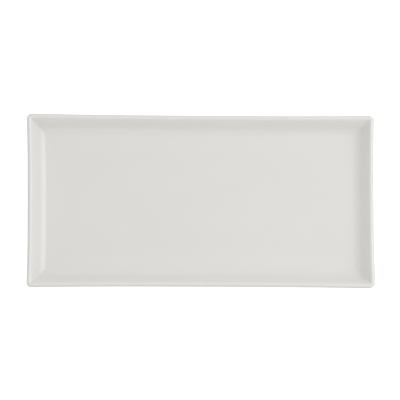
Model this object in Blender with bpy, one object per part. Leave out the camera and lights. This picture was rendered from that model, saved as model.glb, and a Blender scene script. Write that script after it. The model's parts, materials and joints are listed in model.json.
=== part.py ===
"""A rectangular china serving platter: a porcelain body and the two coats of glaze fired onto it.

Run with: blender --background --python part.py. Metres, +Z up. The platter stands on Z = 0 with its
centre over the origin and its long side along X.

Every skin is a loft of closed rings, and a ring is the platter's outline at one inset from the rim's
outer edge and at one height. The rings follow the cross section, which is a chain of arcs joined by
straight stretches. The outline's corner radius changes on the way into the well and down to the foot,
so neighbouring rings are unlike. A sweep or a primitive can't make that, and so the skins are lofted.
"""

import math
from collections import namedtuple

import bmesh
import bpy
from mathutils import Matrix, Vector

# Overall size, over the glaze. Length and width are measured at the corners.
LENGTH = 0.355
WIDTH = 0.177
HEIGHT = 0.022

# The sides pull in a little between the corners as the clay dries and is fired.
LONG_SIDE_BOW = 0.0011
SHORT_SIDE_BOW = 0.0011
BOW_POWER = 3

# Walls, well and floor
WALL_THICKNESS = 0.0048
WALL_ANGLE = math.radians(51)
WELL_FILLET = 0.011
FLOOR_THICKNESS = 0.005
HEEL_RADIUS = 0.005

# Foot ring. Its lower part is the platter's only bare clay.
FOOT_HEIGHT = 0.003
FOOT_SETBACK = 0.0024
FOOT_WIDTH = 0.0045
FOOT_DRAFT = math.radians(10)
FOOT_ROOT_FILLET = 0.001
FOOT_EDGE_RADIUS = 0.0006
BARE_FOOT_HEIGHT = 0.0013

# Corner radius of the outline: at the rim's outer edge, and the least there is on each skin
RIM_CORNER = 0.005
WELL_CORNER = 0.002
OUTSIDE_CORNER = 0.004
RECESS_CORNER = 0.003

# Glaze, and the gap that keeps its mesh clear of the body's
GLAZE_THICKNESS = 0.0003
GLAZE_GAP = 0.0003

# Facets
ARC_STEP = math.radians(30)
CORNER_SEGMENTS = 4
LONG_SIDE_SEGMENTS = 8
SHORT_SIDE_SEGMENTS = 6
SMOOTH_ANGLE = math.radians(40)

# What follows from the sizes above
RIM_RADIUS = WALL_THICKNESS / 2
FLOOR_TOP = FOOT_HEIGHT + FLOOR_THICKNESS
COAT = GLAZE_THICKNESS + GLAZE_GAP
LEDGE_HEIGHT = BARE_FOOT_HEIGHT - GLAZE_GAP

# Which way a skin faces in the cross section: 0 is level and towards the platter's middle
UP = math.radians(90)
DOWN = math.radians(270)
INTO_WELL = UP - WALL_ANGLE
OFF_WALL = DOWN - WALL_ANGLE
OFF_FOOT = math.radians(180) + FOOT_DRAFT
INTO_RECESS = math.radians(360) - FOOT_DRAFT

# An arc of the cross section, from the way it faces at its start to the way it faces at its end. Its
# centre is (inset, height), and a hollow arc has a negative radius.
Arc = namedtuple("Arc", "centre radius start end least_corner")


def facing(angle):
    """The unit vector, as (inset, height), for the way a skin faces."""
    return Vector((math.cos(angle), math.sin(angle)))


def touching(centre, radius, angle, next_radius, next_height):
    """The centre, at a height, of an arc that shares its tangent line with another arc.

    The line faces the way of angle. A next_radius of zero or more also gives the point that lies that
    deep below the line.
    """
    normal = facing(angle)
    support = normal.dot(centre) + radius - next_radius
    return Vector(((support - normal.y * next_height) / normal.x, next_height))


def section():
    """The arcs of the finished section, from the well over the rim and under the foot to the recess."""
    rim_centre = Vector((RIM_RADIUS, HEIGHT - RIM_RADIUS))
    well_centre = touching(rim_centre, RIM_RADIUS, INTO_WELL, -WELL_FILLET, FLOOR_TOP + WELL_FILLET)
    heel_centre = touching(rim_centre, RIM_RADIUS, OFF_WALL, HEEL_RADIUS, FOOT_HEIGHT + HEEL_RADIUS)

    outer_root_centre = Vector((heel_centre.x + FOOT_SETBACK, FOOT_HEIGHT - FOOT_ROOT_FILLET))
    outer_edge_centre = touching(
        outer_root_centre, -FOOT_ROOT_FILLET, OFF_FOOT, FOOT_EDGE_RADIUS, FOOT_EDGE_RADIUS
    )
    inner_edge_centre = outer_edge_centre + Vector((FOOT_WIDTH - 2 * FOOT_EDGE_RADIUS, 0))
    inner_root_centre = touching(
        inner_edge_centre, FOOT_EDGE_RADIUS, INTO_RECESS,
        -FOOT_ROOT_FILLET, FOOT_HEIGHT - FOOT_ROOT_FILLET,
    )
    return {
        "well": Arc(well_centre, -WELL_FILLET, UP, INTO_WELL, WELL_CORNER),
        "rim": Arc(rim_centre, RIM_RADIUS, INTO_WELL, OFF_WALL, WELL_CORNER),
        "heel": Arc(heel_centre, HEEL_RADIUS, OFF_WALL, DOWN, OUTSIDE_CORNER),
        "outer_root": Arc(outer_root_centre, -FOOT_ROOT_FILLET, DOWN, OFF_FOOT, OUTSIDE_CORNER),
        "outer_edge": Arc(outer_edge_centre, FOOT_EDGE_RADIUS, OFF_FOOT, DOWN, OUTSIDE_CORNER),
        "inner_edge": Arc(inner_edge_centre, FOOT_EDGE_RADIUS, DOWN, INTO_RECESS, RECESS_CORNER),
        "inner_root": Arc(inner_root_centre, -FOOT_ROOT_FILLET, INTO_RECESS, DOWN, RECESS_CORNER),
    }


def outline(inset, height, corner_radius):
    """One ring: the points of a rounded rectangle whose sides bow inward, counterclockwise from above."""
    half_length = LENGTH / 2 - inset
    half_width = WIDTH / 2 - inset
    short_side = (half_length, half_width, SHORT_SIDE_BOW, SHORT_SIDE_SEGMENTS)
    long_side = (half_width, half_length, LONG_SIDE_BOW, LONG_SIDE_SEGMENTS)
    points = []
    for quarter, side in enumerate((short_side, long_side, short_side, long_side)):
        reach, half_run, bow, segments = side
        turn = Matrix.Rotation(math.radians(90) * quarter, 3, "Z")
        run_end = half_run - corner_radius
        for step in range(segments):
            along = 2 * step / segments - 1
            pulled_in = bow * (1 - abs(along) ** BOW_POWER)
            points.append(turn @ Vector((reach - pulled_in, along * run_end, height)))
        for step in range(CORNER_SEGMENTS):
            angle = math.radians(90) * step / CORNER_SEGMENTS
            across = reach - corner_radius + corner_radius * math.cos(angle)
            points.append(turn @ Vector((across, run_end + corner_radius * math.sin(angle), height)))
    return points


def sunk_ring(surface, angle, depth, least_corner):
    """The ring through a point of the section, moved straight into the clay by a depth.

    The centres of its corners stay where the surface has them, so the two skins stay parallel.
    """
    sunk = surface - facing(angle) * depth
    corner_radius = max(RIM_CORNER - surface.x, least_corner)
    return outline(sunk.x, sunk.y, corner_radius + surface.x - sunk.x)


def rings_on(arcs, depth):
    """The rings along a run of arcs, sunk into the clay by a depth."""
    rings = []
    for arc in arcs:
        steps = math.ceil(abs(arc.end - arc.start) / ARC_STEP)
        for step in range(steps + 1):
            angle = arc.start + (arc.end - arc.start) * step / steps
            surface = arc.centre + facing(angle) * arc.radius
            rings.append(sunk_ring(surface, angle, depth, arc.least_corner))
    return rings


def ring_on_foot(edge, angle, depth, height):
    """The ring at one height on a side of the foot, sunk into the clay by a depth."""
    place = touching(edge.centre, edge.radius, angle, depth, height)
    surface = place + facing(angle) * depth
    return sunk_ring(surface, angle, depth, edge.least_corner)


def loft(name, rings, material, collection):
    """A closed solid through the rings.

    The rings run so that the clay or glaze is on their right, seen along the path through the section.
    The first ring is closed by a face that looks up, and the last by one that looks down.
    """
    bm = bmesh.new()
    loops = [[bm.verts.new(point) for point in ring] for ring in rings]
    for loop, next_loop in zip(loops, loops[1:]):
        for start in range(len(loop)):
            end = (start + 1) % len(loop)
            bm.faces.new((loop[start], next_loop[start], next_loop[end], loop[end]))
    bm.faces.new(loops[0])
    bm.faces.new(reversed(loops[-1]))
    mesh = bpy.data.meshes.new(name)
    bm.to_mesh(mesh)
    bm.free()
    mesh.shade_smooth()
    mesh.set_sharp_from_angle(angle=SMOOTH_ANGLE)
    mesh.materials.append(material)
    collection.objects.link(bpy.data.objects.new(name, mesh))


def ceramic_material(name, colour, roughness, coat):
    """A non-metal material. A coat of one gives it the clear, wet-looking face of a glaze."""
    material = bpy.data.materials.new(name)
    material.use_nodes = True
    shader = material.node_tree.nodes["Principled BSDF"]
    shader.inputs["Base Color"].default_value = (*colour, 1)
    shader.inputs["Roughness"].default_value = roughness
    shader.inputs["Metallic"].default_value = 0
    shader.inputs["Coat Weight"].default_value = coat
    return material


def build_body(arcs, material, collection):
    """The fired clay. It steps in under the glaze, and is at full size on the bare part of the foot."""
    outer, inner = arcs["outer_edge"], arcs["inner_edge"]
    glazed_outside = [arcs[name] for name in ("well", "rim", "heel", "outer_root")]
    rings = rings_on(glazed_outside, COAT)
    rings += [ring_on_foot(outer, OFF_FOOT, depth, LEDGE_HEIGHT) for depth in (COAT, 0)]
    rings += rings_on([outer, inner], 0)
    rings += [ring_on_foot(inner, INTO_RECESS, depth, LEDGE_HEIGHT) for depth in (0, COAT)]
    rings += rings_on([arcs["inner_root"]], COAT)
    loft("porcelain_body", rings, material, collection)


def build_face_coat(arcs, material, collection):
    """The glaze over the well, the rim and the outside, down to the bare part of the foot."""
    covered = [arcs[name] for name in ("well", "rim", "heel", "outer_root")]
    outer = arcs["outer_edge"]
    skins = []
    for depth in (0, GLAZE_THICKNESS):
        lower_end = ring_on_foot(outer, OFF_FOOT, depth, BARE_FOOT_HEIGHT)
        skins.append(rings_on(covered, depth) + [lower_end])
    loft("glaze_face_coat", skins[0] + skins[1][::-1], material, collection)


def build_base_coat(arcs, material, collection):
    """The glaze in the recess inside the foot ring."""
    inner = arcs["inner_edge"]
    skins = []
    for depth in (0, GLAZE_THICKNESS):
        lower_end = ring_on_foot(inner, INTO_RECESS, depth, BARE_FOOT_HEIGHT)
        skins.append([lower_end] + rings_on([arcs["inner_root"]], depth))
    loft("glaze_base_coat", skins[1][::-1] + skins[0], material, collection)


def main():
    for leftover in list(bpy.data.objects):
        bpy.data.objects.remove(leftover, do_unlink=True)

    platter = bpy.data.collections.new("serving_platter")
    bpy.context.scene.collection.children.link(platter)
    biscuit = ceramic_material("biscuit", (0.72, 0.69, 0.64), 0.75, 0)
    white_glaze = ceramic_material("white_glaze", (0.76, 0.75, 0.72), 0.12, 1)

    arcs = section()
    build_body(arcs, biscuit, platter)
    build_face_coat(arcs, white_glaze, platter)
    build_base_coat(arcs, white_glaze, platter)


main()
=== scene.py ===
"""The looks of a rectangular china serving platter: fine meshes, glaze, bare clay, studio and camera.

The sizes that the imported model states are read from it: the overall box, the well floor's height and
the foot ring's place. The rest of the section is named here. Metres, +Z up.
"""

import json
import math
from collections import namedtuple

import bmesh
import bpy
from mathutils import Matrix, Vector, noise


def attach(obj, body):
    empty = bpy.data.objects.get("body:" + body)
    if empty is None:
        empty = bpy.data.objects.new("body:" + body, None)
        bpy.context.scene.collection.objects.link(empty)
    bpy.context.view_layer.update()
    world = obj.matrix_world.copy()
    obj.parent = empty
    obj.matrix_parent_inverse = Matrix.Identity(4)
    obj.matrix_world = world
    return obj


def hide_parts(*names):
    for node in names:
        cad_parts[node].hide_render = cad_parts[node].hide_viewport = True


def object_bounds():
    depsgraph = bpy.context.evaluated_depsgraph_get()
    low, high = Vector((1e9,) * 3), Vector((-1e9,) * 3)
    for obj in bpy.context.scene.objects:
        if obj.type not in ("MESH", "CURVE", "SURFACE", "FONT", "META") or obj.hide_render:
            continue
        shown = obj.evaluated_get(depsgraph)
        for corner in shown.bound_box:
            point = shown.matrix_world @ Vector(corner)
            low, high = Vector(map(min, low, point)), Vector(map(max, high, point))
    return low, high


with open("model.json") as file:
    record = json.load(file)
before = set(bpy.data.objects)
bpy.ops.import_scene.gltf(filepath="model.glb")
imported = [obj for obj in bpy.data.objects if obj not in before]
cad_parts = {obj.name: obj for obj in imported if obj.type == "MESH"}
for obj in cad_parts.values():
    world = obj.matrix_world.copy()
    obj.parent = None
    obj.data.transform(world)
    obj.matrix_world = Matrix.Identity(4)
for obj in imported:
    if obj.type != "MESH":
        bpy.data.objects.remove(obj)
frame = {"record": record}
cad_low, cad_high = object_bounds()
mount_places = {mount["name"]: Vector(mount["pos_m"]) for mount in frame["record"]["mounts"]}

MM = 0.001

# Overall size, over the glaze
LENGTH = cad_high.x - cad_low.x
WIDTH = cad_high.y - cad_low.y
HEIGHT = cad_high.z - cad_low.z
FLOOR_TOP = mount_places["well_floor"].z

# How far each kind of side pulls in between its corners
LONG_SIDE_BOW = 1.1 * MM
SHORT_SIDE_BOW = 1.1 * MM
BOW_POWER = 3

# Section
WALL_THICKNESS = 4.8 * MM
WALL_ANGLE = math.radians(51)
WELL_FILLET = 11 * MM
HEEL_RADIUS = 5 * MM
FOOT_HEIGHT = 3 * MM
FOOT_WIDTH = 4.5 * MM
FOOT_DRAFT = math.radians(10)
FOOT_ROOT_FILLET = 1 * MM
FOOT_EDGE_RADIUS = 0.6 * MM
RIM_RADIUS = WALL_THICKNESS / 2
TREAD_INSET = WIDTH / 2 - LONG_SIDE_BOW - abs(mount_places["foot_rest"].y)

# Outline corner radii. The four corners are listed counterclockwise from +X +Y, and differ a little, as
# hand-finished clay does. The well's creases open out from the rim down to the floor, and each has its
# own softness.
RIM_CORNERS = (5 * MM, 5.5 * MM, 4.5 * MM, 6.5 * MM)
CREASE_SOFTNESS = (1.3, 0.7, 1.2, 1.8)
CREASE_AT_RIM = 0.8 * MM
CREASE_AT_FLOOR = 2.8 * MM
CREASE_TOP_INSET = 4 * MM
CREASE_FOOT_INSET = 20 * MM
OUTSIDE_CORNER = 4 * MM
RECESS_CORNER = 3 * MM

# Glaze. It ends in a rounded bead above the bare part of the foot, on a line that wanders a little.
GLAZE_THICKNESS = 0.3 * MM
GLAZE_GAP = 0.02 * MM
COAT_DEPTH = GLAZE_THICKNESS + GLAZE_GAP
DRY_LINE = 1.2 * MM
DRY_LINE_WANDER = 0.15 * MM
WANDER_LENGTH = 14 * MM
# How far the glaze pooled at the floor's edge, and the painted light laid with it, reach towards the
# middle.
GATHER_AND_LIGHT_REACH = 14 * MM

# The floor settles a little in the firing.
FLOOR_SAG = 0.3 * MM
SAG_START_INSET = 27 * MM

# Fineness of the meshes. The rings of the floor and of the recess stop FLOOR_CORE short of the middle
# line, and a flat face closes the rest.
ARC_STEP = math.radians(7)
BEAD_STEPS = 6
STRETCH_STEP = 2 * MM
CORNER_SEGMENTS = 10
LONG_SIDE_SEGMENTS = 40
SHORT_SIDE_SEGMENTS = 20
FLOOR_RINGS = 12
FLOOR_CORE = 6 * MM
SHARP_ANGLE = math.radians(50)

# Which way a skin faces in the section: 0 is level and towards the platter's middle
UP = math.radians(90)
DOWN = math.radians(270)
INTO_WELL = UP - WALL_ANGLE
OFF_WALL = DOWN - WALL_ANGLE
OFF_FOOT = math.radians(180) + FOOT_DRAFT
INTO_RECESS = math.radians(360) - FOOT_DRAFT

# An arc of the section. Its centre is (inset, height), and a hollow arc has a negative radius. Its list
# of how much glaze settles, at even steps along it, runs from 1 in a hollow to -1 over an edge. The
# glaze
# is lighter at both ends: in the hollow partly pooled glaze and partly painted light, over the edge a
# painted highlight.
Arc = namedtuple("Arc", "centre radius start end gathers corner_law")

# A point of a skin's path through the section, with the four corner radii of the outline there
Station = namedtuple("Station", "place angle gather corners")

# A closed ring of a skin: the platter's outline at an inset and a height. wander is 1 on the dry line,
# and 0 elsewhere.
Ring = namedtuple("Ring", "inset height corners gather wander")


# ---- Section -----------------------------------------------------------------------------------------


def facing(angle):
    """The unit vector, as (inset, height), for the way a skin faces."""
    return Vector((math.cos(angle), math.sin(angle)))


def touching(centre, radius, angle, next_radius, next_height):
    """The centre, at a height, of an arc that shares its tangent line with another arc."""
    normal = facing(angle)
    support = normal.dot(centre) + radius - next_radius
    return Vector(((support - normal.y * next_height) / normal.x, next_height))


def well_corner(inset):
    """The outline's corner radii on the rim and in the well."""
    share = (inset - CREASE_TOP_INSET) / (CREASE_FOOT_INSET - CREASE_TOP_INSET)
    crease = CREASE_AT_RIM + (CREASE_AT_FLOOR - CREASE_AT_RIM) * min(max(share, 0), 1)
    corners = zip(RIM_CORNERS, CREASE_SOFTNESS)
    return tuple(max(rim - inset, crease * softness) for rim, softness in corners)


def outside_corner(inset):
    """The outline's corner radii on the outside of the walls and the foot."""
    return tuple(max(rim - inset, OUTSIDE_CORNER) for rim in RIM_CORNERS)


def recess_corner(inset):
    """The outline's corner radii inside the foot ring."""
    return (RECESS_CORNER,) * len(RIM_CORNERS)


def section():
    """The arcs of the finished section, from the well over the rim and under the foot to the recess."""
    rim = Vector((RIM_RADIUS, HEIGHT - RIM_RADIUS))
    well = touching(rim, RIM_RADIUS, INTO_WELL, -WELL_FILLET, FLOOR_TOP + WELL_FILLET)
    heel = touching(rim, RIM_RADIUS, OFF_WALL, HEEL_RADIUS, FOOT_HEIGHT + HEEL_RADIUS)
    half_tread = FOOT_WIDTH / 2 - FOOT_EDGE_RADIUS
    outer_edge = Vector((TREAD_INSET - half_tread, FOOT_EDGE_RADIUS))
    inner_edge = Vector((TREAD_INSET + half_tread, FOOT_EDGE_RADIUS))
    root_height = FOOT_HEIGHT - FOOT_ROOT_FILLET
    outer_root = touching(outer_edge, FOOT_EDGE_RADIUS, OFF_FOOT, -FOOT_ROOT_FILLET, root_height)
    inner_root = touching(inner_edge, FOOT_EDGE_RADIUS, INTO_RECESS, -FOOT_ROOT_FILLET, root_height)
    # Where glaze settles the colour is lighter, partly pooled glaze and partly painted light; over the
    # rim's crest and the heel, where it runs thinner, it is lighter too, a painted highlight.
    return {
        "well": Arc(well, -WELL_FILLET, UP, INTO_WELL, (1, 0.8, 0), well_corner),
        "rim": Arc(rim, RIM_RADIUS, INTO_WELL, OFF_WALL, (-0.2, -1, -0.5, 0, 0), well_corner),
        "heel": Arc(heel, HEEL_RADIUS, OFF_WALL, DOWN, (0, -0.5, 0), outside_corner),
        "outer_root": Arc(outer_root, -FOOT_ROOT_FILLET, DOWN, OFF_FOOT, (0, 1, 0), outside_corner),
        "outer_edge": Arc(outer_edge, FOOT_EDGE_RADIUS, OFF_FOOT, DOWN, (0, 0), outside_corner),
        "inner_edge": Arc(inner_edge, FOOT_EDGE_RADIUS, DOWN, INTO_RECESS, (0, 0), recess_corner),
        "inner_root": Arc(inner_root, -FOOT_ROOT_FILLET, INTO_RECESS, DOWN, (0, 0.8, 1), recess_corner),
    }


def bare_edge(edge, side_angle):
    """An edge of the foot where the clay is bare, set in from the glaze's face by the coat's depth."""
    inner_radius = edge.radius + COAT_DEPTH
    centre = touching(edge.centre, edge.radius, side_angle, inner_radius, edge.centre.y)
    return edge._replace(centre=centre)


def gather_and_light_along(arc, share):
    """How much glaze settles at a share of the way along an arc, which also sets its painted light."""
    run = share * (len(arc.gathers) - 1)
    before = min(int(run), len(arc.gathers) - 2)
    here, ahead = arc.gathers[before : before + 2]
    return here + (ahead - here) * (run - before)


def stations_on(arc):
    """The stations along one arc."""
    steps = math.ceil(abs(arc.end - arc.start) / ARC_STEP)
    stations = []
    for step in range(steps + 1):
        share = step / steps
        angle = arc.start + (arc.end - arc.start) * share
        place = arc.centre + facing(angle) * arc.radius
        gather = gather_and_light_along(arc, share)
        stations.append(Station(place, angle, gather, arc.corner_law(place.x)))
    return stations


def stretch(start, end, corner_law):
    """The stations on the straight line between two others, neither of them included."""
    steps = max(1, round((end.place - start.place).length / STRETCH_STEP))
    places = [start.place.lerp(end.place, step / steps) for step in range(1, steps)]
    return [Station(place, start.angle, 0, corner_law(place.x)) for place in places]


def path(arcs):
    """The stations along a run of arcs and the straight stretches between them."""
    stations = stations_on(arcs[0])
    for arc in arcs[1:]:
        following = stations_on(arc)
        stations += stretch(stations[-1], following[0], arc.corner_law) + following
    return stations


def panel(edge):
    """The stations from the edge of the floor, or of the recess, inward to its narrow core.

    The glaze that pools along the edge thins out towards the middle, and the painted light laid with it
    fades too.
    """
    core = WIDTH / 2 - FLOOR_CORE
    stations = []
    for step in range(1, FLOOR_RINGS + 1):
        run_in = (core - edge.place.x) * step / FLOOR_RINGS
        place = edge.place + Vector((run_in, 0))
        gather = edge.gather * math.exp(-((run_in / GATHER_AND_LIGHT_REACH) ** 2))
        stations.append(edge._replace(place=place, gather=gather))
    return stations


def glazed_top(arcs):
    """The stations from the middle of the floor over the rim to the outer side of the foot."""
    stations = path([arcs[name] for name in ("well", "rim", "heel", "outer_root")])
    return panel(stations[0])[::-1] + stations


def glazed_recess(arcs):
    """The stations from the inner side of the foot to the middle of the recess."""
    stations = stations_on(arcs["inner_root"])
    return stations + panel(stations[-1])


# ---- Rings and meshes --------------------------------------------------------------------------------


def rings_at(stations, depth):
    """The rings through the stations, sunk straight into the clay by a depth.

    The centres of a ring's corners stay where the surface has them, so all the skins stay parallel.
    """
    rings = []
    for station in stations:
        sunk = station.place - facing(station.angle) * depth
        corners = tuple(radius + station.place.x - sunk.x for radius in station.corners)
        rings.append(Ring(sunk.x, sunk.y, corners, station.gather, 0))
    return rings


def bead(edge, side_angle, corner_law):
    """The rings round the end of the glaze, from its face to its lining."""
    radius = GLAZE_THICKNESS / 2
    normal = facing(side_angle)
    downhill = Vector((-normal.y, normal.x)) if normal.x < 0 else Vector((normal.y, -normal.x))
    centre = touching(edge.centre, edge.radius, side_angle, radius, DRY_LINE + radius)
    surface_inset = (centre + normal * radius).x
    rings = []
    for step in range(BEAD_STEPS + 1):
        turn = math.pi * step / BEAD_STEPS
        place = centre + (normal * math.cos(turn) + downhill * math.sin(turn)) * radius
        corners = tuple(radius + surface_inset - place.x for radius in corner_law(surface_inset))
        rings.append(Ring(place.x, place.y, corners, 1 - abs(math.cos(turn)), 1))
    return rings


def sag_at(inset):
    """How far the floor has settled at an inset."""
    share = (inset - SAG_START_INSET) / (WIDTH / 2 - SAG_START_INSET)
    return FLOOR_SAG * math.sin(math.pi / 2 * min(max(share, 0), 1)) ** 2


def outline(ring):
    """The points of a ring: a rounded rectangle whose sides bow inward, counterclockwise from above."""
    half_length = LENGTH / 2 - ring.inset
    half_width = WIDTH / 2 - ring.inset
    height = ring.height - sag_at(ring.inset)
    short_side = (half_length, half_width, SHORT_SIDE_BOW, SHORT_SIDE_SEGMENTS)
    long_side = (half_width, half_length, LONG_SIDE_BOW, LONG_SIDE_SEGMENTS)
    points = []
    for quarter, side in enumerate((short_side, long_side, short_side, long_side)):
        reach, half_run, bow, segments = side
        turn = Matrix.Rotation(math.radians(90) * quarter, 3, "Z")
        corner = ring.corners[quarter]
        run_start = ring.corners[quarter - 1] - half_run
        run_end = half_run - corner
        for step in range(segments):
            along = 2 * step / segments - 1
            pulled_in = bow * (1 - abs(along) ** BOW_POWER)
            run = run_start + (run_end - run_start) * step / segments
            points.append(turn @ Vector((reach - pulled_in, run, height)))
        for step in range(CORNER_SEGMENTS):
            angle = math.radians(90) * step / CORNER_SEGMENTS
            across = reach - corner + corner * math.cos(angle)
            points.append(turn @ Vector((across, run_end + corner * math.sin(angle), height)))
    for point in points:
        point.z += ring.wander * DRY_LINE_WANDER * noise.noise(point / WANDER_LENGTH)
    return points


def loft(name, rings):
    """A closed solid through the rings.

    The first ring is closed by a face that looks up, and the last by one that looks down. A point
    attribute holds where the glaze is thick and where it runs thinner, which the glaze's colour turns
    into painted light and painted highlight.
    """
    bm = bmesh.new()
    gather_and_light_layer = bm.verts.layers.float.new("glaze_gather_and_light")
    loops = []
    for ring in rings:
        loop = [bm.verts.new(point) for point in outline(ring)]
        for vert in loop:
            vert[gather_and_light_layer] = ring.gather
        loops.append(loop)
    for loop, next_loop in zip(loops, loops[1:]):
        for start in range(len(loop)):
            end = (start + 1) % len(loop)
            bm.faces.new((loop[start], next_loop[start], next_loop[end], loop[end]))
    bm.faces.new(loops[0])
    bm.faces.new(reversed(loops[-1]))
    mesh = bpy.data.meshes.new(name)
    bm.to_mesh(mesh)
    bm.free()
    mesh.shade_smooth()
    mesh.set_sharp_from_angle(angle=SHARP_ANGLE)
    piece = bpy.data.objects.new(name, mesh)
    bpy.context.scene.collection.objects.link(piece)
    return piece


def finish_piece(piece, material, node):
    """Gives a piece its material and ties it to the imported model."""
    piece.data.materials.append(material)
    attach(piece, "root")
    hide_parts(node)


def make_face_glaze(arcs, material):
    """The glaze over the well, the rim and the outside, down to the dry line on the foot."""
    stations = glazed_top(arcs)
    rings = rings_at(stations, 0)
    rings += bead(arcs["outer_edge"], OFF_FOOT, outside_corner)
    rings += rings_at(stations, GLAZE_THICKNESS)[::-1]
    finish_piece(loft("face_glaze", rings), material, "glaze_face_coat")


def make_base_glaze(arcs, material):
    """The glaze in the recess inside the foot ring."""
    stations = glazed_recess(arcs)
    rings = rings_at(stations, GLAZE_THICKNESS)[::-1]
    rings += bead(arcs["inner_edge"], INTO_RECESS, recess_corner)[::-1]
    rings += rings_at(stations, 0)
    finish_piece(loft("base_glaze", rings), material, "glaze_base_coat")


def make_body(arcs, material):
    """The fired clay, which shows only on the lower part of the foot."""
    bare_outer = bare_edge(arcs["outer_edge"], OFF_FOOT)
    bare_inner = bare_edge(arcs["inner_edge"], INTO_RECESS)
    rings = rings_at(glazed_top(arcs), COAT_DEPTH)
    rings += rings_at(path([bare_outer, bare_inner]), 0)
    rings += rings_at(glazed_recess(arcs), COAT_DEPTH)
    finish_piece(loft("clay_body", rings), material, "porcelain_body")


# ---- Materials ---------------------------------------------------------------------------------------

# Glaze colours: the open face between two shades; lighter and less warm over an edge, a painted
# highlight; and lighter in a hollow, partly whiter pooled glaze and partly painted light
GLAZE_SHADES = ((0.770, 0.750, 0.717), (0.777, 0.758, 0.726))
GLAZE_THIN_AND_HIGHLIT = (0.792, 0.783, 0.758)
GLAZE_POOLED_AND_LIT = (0.792, 0.776, 0.748)
GLAZE_IOR = 1.52
GLAZE_ROUGHNESS = (0.07, 0.11)

# Sizes of the glaze's features, and how deep the two that shape its face are
CLOUD_SIZE = 40 * MM
GLOSS_PATCH_SIZE = 9 * MM
WAVE_SIZE = 16 * MM
WAVE_RELIEF = 0.03 * MM
PEEL_SIZE = 1.8 * MM
PEEL_RELIEF = 0.003 * MM

# Bare clay colours
CLAY_SHADES = ((0.64, 0.60, 0.54), (0.74, 0.71, 0.66))
KILN_STAIN = (0.52, 0.43, 0.33)
IRON_SPECK = (0.16, 0.12, 0.09)
CLAY_SPECULAR = 0.25
CLAY_ROUGHNESS = (0.75, 0.9)

# Sizes of the clay's features, how rough their noise is, and how deep its grit is
GRAIN_SIZE = 0.5 * MM
STAIN_SIZE = 11 * MM
SPECK_SIZE = 0.9 * MM
GRIT_SIZE = 0.35 * MM
GRIT_RELIEF = 0.03 * MM
GRITTY = 0.7

# Ranges of noise, which is centred on a half. Little of the gloss's or the grain's noise lies outside
# MOST_NOISE. Stains and specks show only where theirs is high.
MOST_NOISE = (0.35, 0.65)
CLOUD_NOISE = (0.3, 0.7)
STAIN_NOISE = (0.56, 0.72)
STAIN_STRENGTH = 0.5
SPECK_NOISE = (0.80, 0.84)
SPECK_STRENGTH = 0.8


def new_material(name):
    """A node material: its node tree and its Principled shader."""
    material = bpy.data.materials.new(name)
    material.use_nodes = True
    return material, material.node_tree, material.node_tree.nodes["Principled BSDF"]


def noise_over(tree, size, detail, roughness=0.5):
    """Noise with features of a real size, in metres, fixed to the object."""
    place = tree.nodes.new("ShaderNodeTexCoord")
    texture = tree.nodes.new("ShaderNodeTexNoise")
    texture.inputs["Scale"].default_value = 1 / size
    texture.inputs["Detail"].default_value = detail
    texture.inputs["Roughness"].default_value = roughness
    tree.links.new(place.outputs["Object"], texture.inputs["Vector"])
    return texture.outputs["Fac"]


def ranged(tree, value, low, high, to_low, to_high):
    """The value carried from one range to another, and held at its ends."""
    node = tree.nodes.new("ShaderNodeMapRange")
    node.inputs["From Min"].default_value = low
    node.inputs["From Max"].default_value = high
    node.inputs["To Min"].default_value = to_low
    node.inputs["To Max"].default_value = to_high
    tree.links.new(value, node.inputs["Value"])
    return node.outputs["Result"]


def mixed(tree, factor, first, second):
    """A blend of two colours, each a colour or another node's output."""
    node = tree.nodes.new("ShaderNodeMix")
    node.data_type = "RGBA"
    tree.links.new(factor, node.inputs["Factor"])
    for name, colour in (("A", first), ("B", second)):
        socket = next(s for s in node.inputs if s.name == name and s.type == "RGBA")
        if isinstance(colour, tuple):
            socket.default_value = (*colour, 1)
        else:
            tree.links.new(colour, socket)
    return next(s for s in node.outputs if s.type == "RGBA")


def bumped(tree, height, relief, normal=None):
    """A surface normal from a height between 0 and 1 that stands for a real relief, in metres."""
    node = tree.nodes.new("ShaderNodeBump")
    node.inputs["Distance"].default_value = relief
    tree.links.new(height, node.inputs["Height"])
    if normal:
        tree.links.new(normal, node.inputs["Normal"])
    return node.outputs["Normal"]


def glaze_material():
    """Clear gloss glaze on white porcelain.

    It is lighter where it pools, partly milky pooled glaze and partly painted light; it is lighter and
    less warm where it runs over an edge, a painted highlight; and its face keeps a slow wave and a fine
    orange-peel texture.
    """
    material, tree, shader = new_material("white_gloss_glaze")
    shader.inputs["IOR"].default_value = GLAZE_IOR

    cloud = ranged(tree, noise_over(tree, CLOUD_SIZE, 2), *CLOUD_NOISE, 0, 1)
    fired_white = mixed(tree, cloud, *GLAZE_SHADES)
    gather = tree.nodes.new("ShaderNodeAttribute")
    gather.attribute_name = "glaze_gather_and_light"
    # Lighter over an edge: a painted highlight. Lighter in a hollow: partly whiter pooled glaze, partly
    # painted light.
    thin_highlit = ranged(tree, gather.outputs["Fac"], 0, -1, 0, 1)
    pooled_lit = ranged(tree, gather.outputs["Fac"], 0, 1, 0, 1)
    highlit_edges = mixed(tree, thin_highlit, fired_white, GLAZE_THIN_AND_HIGHLIT)
    pooled_lit_hollows = mixed(tree, pooled_lit, highlit_edges, GLAZE_POOLED_AND_LIT)
    tree.links.new(pooled_lit_hollows, shader.inputs["Base Color"])

    gloss = ranged(tree, noise_over(tree, GLOSS_PATCH_SIZE, 3), *MOST_NOISE, *GLAZE_ROUGHNESS)
    tree.links.new(gloss, shader.inputs["Roughness"])

    wave = bumped(tree, noise_over(tree, WAVE_SIZE, 1), WAVE_RELIEF)
    peel = bumped(tree, noise_over(tree, PEEL_SIZE, 1), PEEL_RELIEF, wave)
    tree.links.new(peel, shader.inputs["Normal"])
    return material


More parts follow.
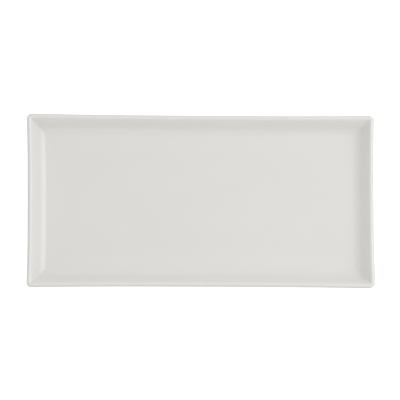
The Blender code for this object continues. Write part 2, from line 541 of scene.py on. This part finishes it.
def biscuit_material():
    """Bare fired porcelain: matte, faintly gritty, with a few dark specks and kiln-shelf stains."""
    material, tree, shader = new_material("bare_biscuit")
    shader.inputs["Specular IOR Level"].default_value = CLAY_SPECULAR

    grain = ranged(tree, noise_over(tree, GRAIN_SIZE, 3, GRITTY), *MOST_NOISE, 0, 1)
    clay = mixed(tree, grain, *CLAY_SHADES)
    stain = ranged(tree, noise_over(tree, STAIN_SIZE, 4), *STAIN_NOISE, 0, STAIN_STRENGTH)
    stained = mixed(tree, stain, clay, KILN_STAIN)
    speck = ranged(tree, noise_over(tree, SPECK_SIZE, 0), *SPECK_NOISE, 0, SPECK_STRENGTH)
    tree.links.new(mixed(tree, speck, stained, IRON_SPECK), shader.inputs["Base Color"])

    tree.links.new(ranged(tree, grain, 0, 1, *CLAY_ROUGHNESS), shader.inputs["Roughness"])
    grit = bumped(tree, noise_over(tree, GRIT_SIZE, 3, GRITTY), GRIT_RELIEF)
    tree.links.new(grit, shader.inputs["Normal"])
    return material


# ---- Studio ------------------------------------------------------------------------------------------

WHITE = (1, 1, 1)

# GROUND_GLOW lifts the ground to white in the picture, and throws no light on the platter.
GROUND_REACH = 30
GROUND_DROP = 0.05 * MM
GROUND_ALBEDO = 0.43
GROUND_GLOW = 0.85

# The dome's strength at eye level and overhead, its tint at eye level, and the white that the picture
# shows in its place
HORIZON_LIGHT = 1.024
HORIZON_TINT = (0.985, 1, 1.013)
ZENITH_LIGHT = 0.6
BACKDROP_WHITE = 1.1

# Every lamp stands on this bearing, round from +X.
LIGHT_BEARING = math.radians(11)

# The big soft light on the studio's ceiling. It fades out from its middle over GLOW_REACH.
GLOW_LEAN = math.radians(33)
GLOW_REACH = math.radians(38)
GLOW_FALLOFF = 3
GLOW_LIGHT = 1.04

# The soft lights. lean is in degrees down from straight above, and radiance is on the dome's scale.
Softbox = namedtuple("Softbox", "name lean distance size radiance")
SOFTBOXES = (
    Softbox("key", 25, 2.2, (1.2, 0.9), 1.05),
    Softbox("key_low", 42, 0.95, (0.5, 0.35), 1.0),
    Softbox("key_close", 60, 0.7, (0.4, 0.3), 0.5),
)


def by_camera_ray(tree, for_light, for_camera):
    """Mixes two shaders: one for the light that reaches the object, one for what the picture shows."""
    path_node = tree.nodes.new("ShaderNodeLightPath")
    mix = tree.nodes.new("ShaderNodeMixShader")
    tree.links.new(path_node.outputs["Is Camera Ray"], mix.inputs["Fac"])
    tree.links.new(for_light, mix.inputs[1])
    tree.links.new(for_camera, mix.inputs[2])
    return mix.outputs["Shader"]


def make_ground():
    """A plain pale ground that reads as white, the way a product shot is lit."""
    bpy.ops.mesh.primitive_plane_add(size=GROUND_REACH, location=(0, 0, -GROUND_DROP))
    ground = bpy.context.object
    ground.name = "ground"
    material = bpy.data.materials.new("ground_white")
    material.use_nodes = True
    tree = material.node_tree
    tree.nodes.clear()
    paper = tree.nodes.new("ShaderNodeBsdfDiffuse")
    paper.inputs["Color"].default_value = (GROUND_ALBEDO, GROUND_ALBEDO, GROUND_ALBEDO, 1)
    glow = tree.nodes.new("ShaderNodeEmission")
    glow.inputs["Color"].default_value = (*WHITE, 1)
    glow.inputs["Strength"].default_value = GROUND_GLOW
    lifted = tree.nodes.new("ShaderNodeAddShader")
    tree.links.new(paper.outputs["BSDF"], lifted.inputs[0])
    tree.links.new(glow.outputs["Emission"], lifted.inputs[1])
    output = tree.nodes.new("ShaderNodeOutputMaterial")
    surface = by_camera_ray(tree, paper.outputs["BSDF"], lifted.outputs["Shader"])
    tree.links.new(surface, output.inputs["Surface"])
    ground.data.materials.append(material)


def lamp_direction(lean):
    """The unit vector from the platter towards a lamp that leans down from straight above."""
    level = Vector((math.cos(LIGHT_BEARING), math.sin(LIGHT_BEARING), 0))
    return level * math.sin(lean) + Vector((0, 0, math.cos(lean)))


def calculated(tree, operation, first, second):
    """One step of arithmetic on two values, each a number or another node's output."""
    node = tree.nodes.new("ShaderNodeMath")
    node.operation = operation
    for socket, value in zip(node.inputs, (first, second)):
        if isinstance(value, (int, float)):
            socket.default_value = value
        else:
            tree.links.new(value, socket)
    return node.outputs["Value"]


def make_dome():
    """The even light of a white studio, and the glow of the big soft light on its ceiling."""
    world = bpy.data.worlds.new("studio")
    world.use_nodes = True
    bpy.context.scene.world = world
    tree = world.node_tree
    tree.nodes.clear()
    direction = tree.nodes.new("ShaderNodeTexCoord")
    split = tree.nodes.new("ShaderNodeSeparateXYZ")
    tree.links.new(direction.outputs["Generated"], split.inputs["Vector"])
    even = ranged(tree, split.outputs["Z"], 0, 1, HORIZON_LIGHT, ZENITH_LIGHT)
    nearness = tree.nodes.new("ShaderNodeVectorMath")
    nearness.operation = "DOT_PRODUCT"
    nearness.inputs[1].default_value = lamp_direction(GLOW_LEAN)
    tree.links.new(direction.outputs["Generated"], nearness.inputs[0])
    share = ranged(tree, nearness.outputs["Value"], math.cos(GLOW_REACH), 1, 0, 1)
    faded = calculated(tree, "POWER", share, GLOW_FALLOFF)
    glow = calculated(tree, "MULTIPLY", faded, GLOW_LIGHT)
    dome = tree.nodes.new("ShaderNodeBackground")
    tint = mixed(tree, split.outputs["Z"], HORIZON_TINT, WHITE)
    tree.links.new(tint, dome.inputs["Color"])
    tree.links.new(calculated(tree, "ADD", even, glow), dome.inputs["Strength"])
    backdrop = tree.nodes.new("ShaderNodeBackground")
    backdrop.inputs["Color"].default_value = (*WHITE, 1)
    backdrop.inputs["Strength"].default_value = BACKDROP_WHITE
    output = tree.nodes.new("ShaderNodeOutputWorld")
    surface = by_camera_ray(tree, dome.outputs["Background"], backdrop.outputs["Background"])
    tree.links.new(surface, output.inputs["Surface"])


def make_softbox(box):
    """A rectangular soft light that looks at the platter's middle."""
    lean = math.radians(box.lean)
    light = bpy.data.lights.new(box.name, "AREA")
    light.shape = "RECTANGLE"
    light.size, light.size_y = box.size
    light.energy = math.pi * box.radiance * light.size * light.size_y
    lamp = bpy.data.objects.new(box.name, light)
    lamp.location = lamp_direction(lean) * box.distance
    lamp.rotation_euler = (lean, 0, LIGHT_BEARING + math.radians(90))
    lamp.visible_camera = False
    bpy.context.scene.collection.objects.link(lamp)


# ---- Camera ------------------------------------------------------------------------------------------

# The view is VIEW_WIDTH wide at the height of the rim. Its middle is AIM_OFFSET from the platter's.
SENSOR = 36
CAMERA_DISTANCE = 4.0
VIEW_WIDTH = 0.40696
CAMERA_LEAN_X = math.radians(4.5)
CAMERA_LEAN_Y = math.radians(6)
CAMERA_ROLL = math.radians(0.18)
AIM_OFFSET = Vector((-1.27, 1.04)) * MM


def make_camera():
    """A long lens almost straight above, leaning a little towards -X and -Y."""
    data = bpy.data.cameras.new("camera")
    data.sensor_width = SENSOR
    data.lens = SENSOR * CAMERA_DISTANCE / VIEW_WIDTH
    camera = bpy.data.objects.new("camera", data)
    back = Vector((-math.tan(CAMERA_LEAN_X), -math.tan(CAMERA_LEAN_Y), 1)).normalized()
    right = Vector((math.sin(CAMERA_ROLL), math.cos(CAMERA_ROLL), 0)).cross(back).normalized()
    upward = back.cross(right)
    aim = Vector((*AIM_OFFSET, HEIGHT - RIM_RADIUS))
    axes = Matrix((right, upward, back)).transposed()
    camera.matrix_world = Matrix.Translation(aim + back * CAMERA_DISTANCE) @ axes.to_4x4()
    bpy.context.scene.collection.objects.link(camera)
    bpy.context.scene.camera = camera


# ---- Build -------------------------------------------------------------------------------------------

glaze = glaze_material()
biscuit = biscuit_material()
platter_arcs = section()
make_face_glaze(platter_arcs, glaze)
make_base_glaze(platter_arcs, glaze)
make_body(platter_arcs, biscuit)

make_ground()
make_dome()
for softbox in SOFTBOXES:
    make_softbox(softbox)
make_camera()
bpy.context.scene.view_settings.view_transform = "Standard"
